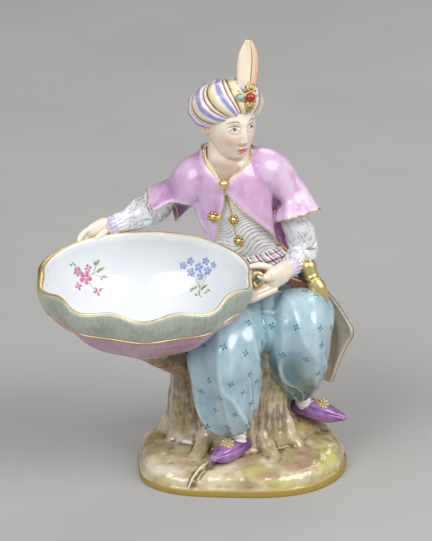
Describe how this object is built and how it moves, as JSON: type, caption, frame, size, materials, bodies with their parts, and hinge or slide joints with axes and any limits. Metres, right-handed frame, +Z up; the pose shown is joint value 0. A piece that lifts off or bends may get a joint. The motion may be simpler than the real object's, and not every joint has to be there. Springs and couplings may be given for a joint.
{
  "type": "porcelain figure with sweetmeat dish",
  "caption": "Seated porcelain figure in Turkish dress on a rock base, holding a lobed oval sweetmeat dish on a tree stump.",
  "frame": {"origin": "middle of the flat underside of the rock base", "axes": "+Z up; -Y is the front, the side that the figure and the dish face; +X is the figure's left, away from the dish"},
  "size_m": [0.1314, 0.0941, 0.1871],
  "materials": {
    "porcelain": "white hard-paste porcelain under clear glaze",
    "pink_enamel": "glossy lilac-pink enamel of the coat",
    "blue_enamel": "glossy pale blue enamel of the trousers, with small painted flowers",
    "purple_enamel": "glossy purple enamel of the slippers",
    "rock_enamel": "glossy brown, green and rose washes of the stump and rock",
    "skin_enamel": "ivory glaze with blushed cheeks",
    "dish_enamel": "white inside with painted sprays, pale green and rose outside",
    "gilding": "burnished gold on the glaze"
  },
  "bodies": {
    "root": {"sweetmeat_figure": "porcelain"}
  },
  "joints": []
}
